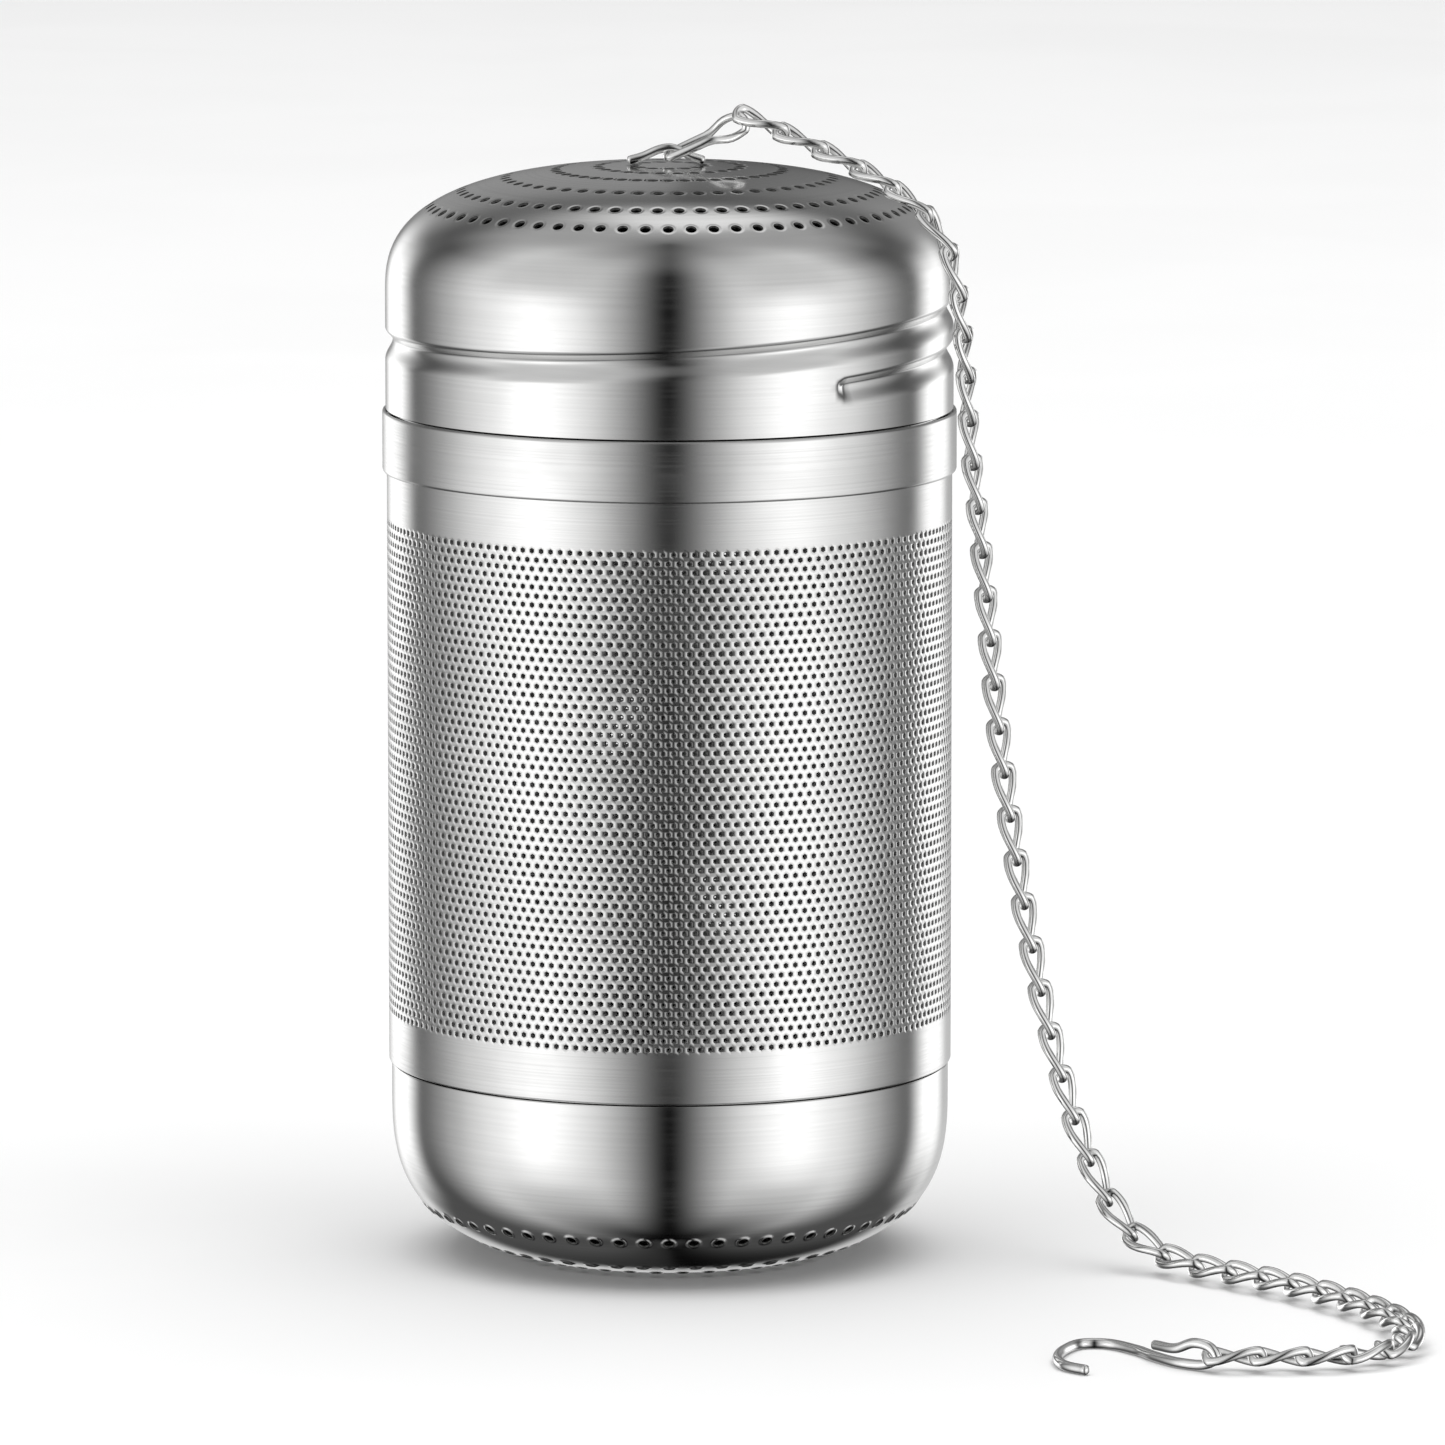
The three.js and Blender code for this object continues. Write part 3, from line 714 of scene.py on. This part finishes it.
def zigzag_edge(level, near, far, number, flip):
    """Quads between a plain ring at one height and the zigzag edge of the cells, whose corners are by turns
    near to it and far from it."""
    i = np.arange(2 * number)
    zero = np.zeros(2 * number)
    first, second = np.where(i % 2 == flip, near, far), np.where(i % 2 == flip, far, near)
    left, right = i / (2.0 * number), (i + 1) / (2.0 * number)
    if level < near:
        quads = [(left, zero + level), (right, zero + level), (right, second), (left, first)]
    else:
        quads = [(left, first), (right, second), (right, zero + level), (left, zero + level)]
    return np.stack([np.stack(corner, axis=-1) for corner in quads], axis=-2)


def half_of(patches, front):
    """The faces of patches whose middle lies in the front half turn, or those that don't."""
    chosen = []
    for patch in patches:
        middle = patch[:, :, 0].mean(axis=1) % 1.0
        inside = (middle >= 0.25) & (middle < 0.75)
        chosen.append(patch[inside if front else ~inside])
    return chosen


drum_profile = np.array([
    [DRUM_RADIUS - 0.1 * MM, DRUM_BOTTOM], [DRUM_RADIUS - 0.04 * MM, DRUM_BOTTOM + 0.04 * MM],
    [DRUM_RADIUS, DRUM_BOTTOM + 0.14 * MM], [DRUM_RADIUS, DRUM_TOP],
])
first_row = FIRST_ROW - DRUM_BOTTOM
last_row = first_row + (ROWS - 1) * ROW_STEP
drum_patches = [
    bands(2 * HOLES_ROUND, [0.0, 0.085 * MM, 0.193 * MM, 0.6 * MM, 2.4 * MM, first_row - ROW_STEP]),
    zigzag_edge(first_row - ROW_STEP, first_row - 2 * ROW_STEP / 3, first_row - ROW_STEP / 3, HOLES_ROUND, 0),
    sieve_cells(first_row, ROW_STEP, ROWS, HOLES_ROUND, SIEVE_HOLE, DRUM_RADIUS),
    zigzag_edge(last_row + ROW_STEP, last_row + 2 * ROW_STEP / 3, last_row + ROW_STEP / 3, HOLES_ROUND, 1),
    bands(2 * HOLES_ROUND, np.linspace(last_row + ROW_STEP, DRUM_TOP - DRUM_BOTTOM, 5)),
]
for side, front in (("front", True), ("back", False)):
    half_drum = pressed_shell(
        f"sieve_drum_{side}", half_of(drum_patches, front), turned(drum_profile), DRUM_WALL, BRUSHED_STEEL,
        taper=SIEVE_TAPER, edge_tilt=SIEVE_TILT, inner=LIGHTENED_ETCHED_STEEL,
    )
    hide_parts("mesh_drum")
    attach(half_drum, "basket")


# ---------------------------------------------------------------------------------------------------------
# Neck: a ring of the same sheet welded inside the drum's top. Above the collar it steps in and carries the
# rolled screw groove, one that rises anticlockwise, which is open at the top so that the lid can start on it.
# ---------------------------------------------------------------------------------------------------------
NECK_BOTTOM = 70.5 * MM
NECK_STEP = 78.0 * MM
NECK_TOP = 87.5 * MM
NECK_RADIUS = 25.1 * MM
SCREW_START = math.radians(-51.0)
SCREW_TURN = math.radians(440.0)
SCREW_PITCH = 3.83 * MM
SCREW_LOW_END = 82.816 * MM
SCREW_TILT = np.array([0.558, 0.838]) * MM


def rolled_screw(depth, above, below, before, after):
    """Lift, inwards, of a screw groove: its section is one wave of a cosine of the distance from its lowest
    line, steep above it and gentle below it, and its ends are round. The lowest line climbs one pitch a turn,
    and tilts a little to one side, as a hand-fed roller leaves it."""
    def lift(angle, v, radius, height):
        nearest = np.full(np.shape(height), np.inf)
        for turns in (-1, 0, 1, 2):
            along = (angle - SCREW_START) % (2.0 * math.pi) + 2.0 * math.pi * turns
            held = np.clip(along, -before, SCREW_TURN + after)
            at = SCREW_START + held
            middle = SCREW_LOW_END + SCREW_PITCH * held / (2.0 * math.pi)
            middle = middle + SCREW_TILT[0] * np.cos(at) + SCREW_TILT[1] * np.sin(at)
            reach = np.where(height > middle, above, below)
            gap = np.hypot((height - middle) / reach, radius * (along - held) / below)
            nearest = np.minimum(nearest, gap)
        return -0.5 * depth * (1.0 + np.cos(math.pi * np.clip(nearest, 0.0, 1.0)))

    return lift


neck_profile = np.array([
    [SPIGOT_RADIUS, NECK_BOTTOM], [SPIGOT_RADIUS, NECK_STEP], [NECK_RADIUS, NECK_STEP + SHEET],
    [NECK_RADIUS, NECK_TOP],
])
neck_end = travelled(neck_profile)[-1]
neck_stations = np.concatenate([
    np.array([0.0, 3.7, 7.3]) * MM, np.linspace(7.5 * MM, 8.0 * MM, 4),
    np.arange(8.2 * MM, neck_end, 0.25 * MM), [neck_end],
])
neck_screw = rolled_screw(0.95 * MM, 1.5 * MM, 2.3 * MM, math.radians(15.0), math.radians(210.0))
neck = pressed_shell(
    "threaded_neck", [bands(AROUND, neck_stations)], turned(neck_profile, neck_screw), SHEET, BRUSHED_STEEL,
    edge_steps=4, edge_bulge=0.15 * MM,
)
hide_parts("neck_ring")
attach(neck, "basket")


# ---------------------------------------------------------------------------------------------------------
# Collar: a narrow brushed band pressed over the drum's top edge and spot welded, which covers the joint
# between the drum and the neck and stops the lid. Both its edges are rounded over.
# ---------------------------------------------------------------------------------------------------------
COLLAR_RADIUS = 26.3 * MM
COLLAR_WALL = 0.35 * MM
COLLAR_BOTTOM = 72.6 * MM
COLLAR_TOP = 78.2 * MM
COLLAR_EDGE = 0.28 * MM

collar_profile = np.array([
    [COLLAR_RADIUS, COLLAR_BOTTOM + COLLAR_EDGE], [COLLAR_RADIUS, COLLAR_TOP - COLLAR_EDGE],
])
collar = pressed_shell(
    "collar_band_fine", [bands(AROUND, np.linspace(0.0, COLLAR_TOP - COLLAR_BOTTOM - 2.0 * COLLAR_EDGE, 5))],
    turned(collar_profile), COLLAR_WALL, BRUSHED_STEEL, edge_steps=8, edge_bulge=COLLAR_EDGE,
)
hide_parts("collar_band")
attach(collar, "basket")


# ---------------------------------------------------------------------------------------------------------
# Lid: drawn from the same sheet as the cup and polished. The dome is punched with rings of holes, and the
# skirt has the screw groove rolled in, with its blind round end at the front right.
# ---------------------------------------------------------------------------------------------------------
LID_RADIUS = 26.0 * MM
LID_RIM = 78.36 * MM
LID_SHOULDER = 89.0 * MM
LID_RISE = 11.5 * MM
LID_POWER = 2.65
LID_HOLE = 0.5 * MM
LID_HOLE_RINGS = [(21.9, 67), (19.05, 62), (15.0, 52), (10.4, 45), (6.5, 26), (3.2, 13)]

LID_STEEL = steel("lid_steel", (0.8, 0.8, 0.795, 1.0), (0.69, 0.69, 0.685, 1.0), gloss=0.09, matt=0.2,
                  patch=60.0, around=12.0, across=3400.0, lean=1.0, depth=0.0016 * MM)

dome = quarter_oval(LID_RADIUS, LID_RISE, LID_POWER)[::-1] + np.array([0.0, LID_SHOULDER])
lid_profile = np.vstack([[[LID_RADIUS, LID_RIM]], dome])
lid_end = travelled(lid_profile)[-1]
skirt_end = LID_SHOULDER - LID_RIM
lid_rings = ring_places(lid_profile[1:], LID_HOLE_RINGS, LID_HOLE)
lid_rings = [(place + skirt_end, number, radius, hole) for place, number, radius, hole in lid_rings]
lid_stations = np.concatenate([
    np.arange(0.0, skirt_end + 1.0 * MM, 0.125 * MM),
    np.arange(skirt_end + 1.2 * MM, lid_end - 2.0 * MM, 0.45 * MM), [lid_end - 1.2 * MM],
])
lid_patches, lid_count = punched_layout(lid_stations, AROUND, lid_rings)
lid_patches.append(closing_fan(lid_stations[-1], lid_count, lid_end))
screw_lift = rolled_screw(0.7 * MM, 1.1 * MM, 1.9 * MM, 0.0, 0.0)
sunk_rims = raised_rims(lid_rings, -0.025 * MM, 0.12 * MM)
lid = pressed_shell(
    "domed_lid", lid_patches, turned(lid_profile, lambda *at: screw_lift(*at) + sunk_rims(*at)), SHEET,
    LID_STEEL, edge_steps=3, edge_bulge=0.08 * MM,
)
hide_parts("lid_shell")
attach(lid, "lid")


# ---------------------------------------------------------------------------------------------------------
# Staple on top of the lid: a short arch of wire whose feet are spot welded to the dome. The long
# link hangs in it: a closed wire loop twisted from almost level at the staple to upright at the chain.
# ---------------------------------------------------------------------------------------------------------
STAPLE_WIRE = 0.8 * MM
STAPLE_ROUTE = MM * np.array([
    [-3.6, 0.0, 100.95], [-2.4, 0.0, 101.3], [-1.0, 0.0, 101.9], [0.0, 0.0, 102.08],
    [0.9, 0.0, 101.85], [2.0, 0.0, 101.3], [3.0, 0.0, 100.97],
])
LONG_LINK_START = MM * np.array([-0.2, 0.0, 101.24])
LONG_LINK_END = MM * np.array([6.9, 0.0, 104.5])
LONG_LINK_HALF_WIDTH = 1.05 * MM
LONG_LINK_RINGS = 64
LONG_LINK_SIDES = 16
LEVEL_ROLL = math.radians(10.0)

staple = wire_along("wire_staple", smooth_route(STAPLE_ROUTE), STAPLE_WIRE, spacing=0.15 * MM)
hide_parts("lid_staple")
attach(staple, "lid")

long_reach = LONG_LINK_END - LONG_LINK_START
loop = twisted_loop(
    0.5 * np.linalg.norm(long_reach), LONG_LINK_HALF_WIDTH, CHAIN_WIRE,
    lambda share: LEVEL_ROLL + (0.5 * math.pi - LEVEL_ROLL) * ease(share, 0.5, 0.95), LONG_LINK_RINGS,
    LONG_LINK_SIDES,
)
loop_points = place_loops(
    loop, (0.5 * (LONG_LINK_START + LONG_LINK_END))[None], long_reach[None], np.array([[0.0, 1.0, 0.0]]),
)
loop_faces = ring_of_rings(LONG_LINK_RINGS, LONG_LINK_SIDES)
long_link = lay_mesh(
    "long_wire_link", loop_points, loop_faces.reshape(-1), 4 * np.arange(len(loop_faces)), [WIRE_STEEL],
)
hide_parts("long_link")
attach(long_link, "swing_link")


# ---------------------------------------------------------------------------------------------------------
# Studio: a plain pale floor, and soft light from tall panels that stand round the infuser. The panels are
# in the world's light, nearly the same on both sides, and the steel mirrors them as bright and dark stripes.
# ---------------------------------------------------------------------------------------------------------
# Each panel: angle of its middle from the front, how far either side of that it is full and where it has
# gone, the same three for the height of its middle above level, all in degrees, and its brightness.
PANELS = {
    "wide_front": (51.0, 20.0, 52.0, 0.0, 22.0, 86.0, 0.75),
    "bright_front": (52.0, 0.0, 32.0, -8.0, 0.0, 30.0, 0.72),
    "side_strip": (91.0, 4.0, 24.0, -4.0, 18.0, 84.0, 0.24),
    "narrow_side": (137.0, 4.0, 21.0, -5.0, 3.0, 30.0, 1.35),
    "low_back": (168.0, 12.0, 28.0, -18.0, 4.0, 20.0, 0.62),
    "side_back": (156.0, 6.0, 40.0, 16.0, 6.0, 30.0, 0.3),
    "high_back": (175.0, 8.0, 34.0, 58.0, 4.0, 20.0, 0.5),
    "ceiling": (128.0, 30.0, 172.0, 66.0, 6.0, 36.0, 0.42),
    "ground_glow": (112.0, 26.0, 70.0, -36.0, 24.0, 70.0, 0.09),
    "side_glow": (110.0, 10.0, 26.0, 16.0, 20.0, 50.0, 0.09),
}
LEFT_SPREAD = 0.93


def panel_light():
    """World light that is the sum of the panels. Each is its brightness times a smooth step down of the
    angle away from its middle, times one of the height away from it. The angle from the front is the arc
    tangent of x over minus y without its sign, a little less on the left. The height is the arc sine of z."""
    world = bpy.data.worlds.new("studio_panels")
    world.use_nodes = True
    nodes, links = world.node_tree.nodes, world.node_tree.links
    place, part = nodes.new("ShaderNodeTexCoord"), nodes.new("ShaderNodeSeparateXYZ")
    links.new(place.outputs["Generated"], part.inputs["Vector"])

    def math_node(operation, first, second):
        node = nodes.new("ShaderNodeMath")
        node.operation = operation
        for socket, given in zip(node.inputs, (first, second)):
            if isinstance(given, float):
                socket.default_value = given
            else:
                links.new(given, socket)
        return node.outputs[0]

    def fading(value, middle, full, gone):
        away = math_node("ABSOLUTE", math_node("SUBTRACT", value, math.radians(middle)), 0.0)
        step = nodes.new("ShaderNodeMapRange")
        step.interpolation_type = "SMOOTHSTEP"
        step.inputs["From Min"].default_value = math.radians(full)
        step.inputs["From Max"].default_value = math.radians(gone)
        links.new(away, step.inputs["Value"])
        return math_node("SUBTRACT", 1.0, step.outputs["Result"])

    turn = math_node("ARCTAN2", part.outputs["X"], math_node("MULTIPLY", part.outputs["Y"], -1.0))
    angle = math_node("MAXIMUM", turn, math_node("MULTIPLY", turn, -LEFT_SPREAD))
    height = math_node("ARCSINE", part.outputs["Z"], 0.0)
    light = None
    for around, around_full, around_gone, up, up_full, up_gone, brightness in PANELS.values():
        shape = math_node("MULTIPLY", fading(angle, around, around_full, around_gone),
                          fading(height, up, up_full, up_gone))
        panel = math_node("MULTIPLY", shape, brightness)
        light = panel if light is None else math_node("ADD", light, panel)
    links.new(light, nodes["Background"].inputs["Color"])
    bpy.context.scene.world = world


def pale_floor():
    """A level square of pale matt board, with a faint broad mottle in its colour."""
    half = 3.0
    corners = np.array([[-half, -half, 0.0], [half, -half, 0.0], [half, half, 0.0], [-half, half, 0.0]])
    material = bpy.data.materials.new("pale_board")
    material.use_nodes = True
    nodes, links = material.node_tree.nodes, material.node_tree.links
    shader = nodes["Principled BSDF"]
    shader.inputs["Roughness"].default_value = 0.9
    shader.inputs["Specular IOR Level"].default_value = 0.1
    smudge = nodes.new("ShaderNodeGroup")
    smudge.node_tree = SMUDGES
    smudge.inputs["Size"].default_value = 9.0
    colour = nodes.new("ShaderNodeMix")
    colour.data_type = "RGBA"
    colour.inputs["A"].default_value = (0.93, 0.93, 0.93, 1.0)
    colour.inputs["B"].default_value = (0.915, 0.915, 0.915, 1.0)
    links.new(smudge.outputs["Mask"], colour.inputs["Factor"])
    links.new(colour.outputs["Result"], shader.inputs["Base Color"])
    floor = lay_mesh("studio_floor", corners, np.arange(4), np.array([0]), [material])
    floor.visible_glossy = False


def overhead_light():
    """One large soft square light above, which lights the floor and isn't mirrored in the steel."""
    data = bpy.data.lights.new("overhead_panel", "AREA")
    data.shape = "SQUARE"
    data.size = 3.0
    data.energy = 54.0
    lamp = bpy.data.objects.new("overhead_panel", data)
    lamp.location = (0.0, 0.0, 2.2)
    lamp.visible_glossy = False
    bpy.context.collection.objects.link(lamp)


panel_light()
pale_floor()
overhead_light()
bpy.context.scene.view_settings.view_transform = "Standard"
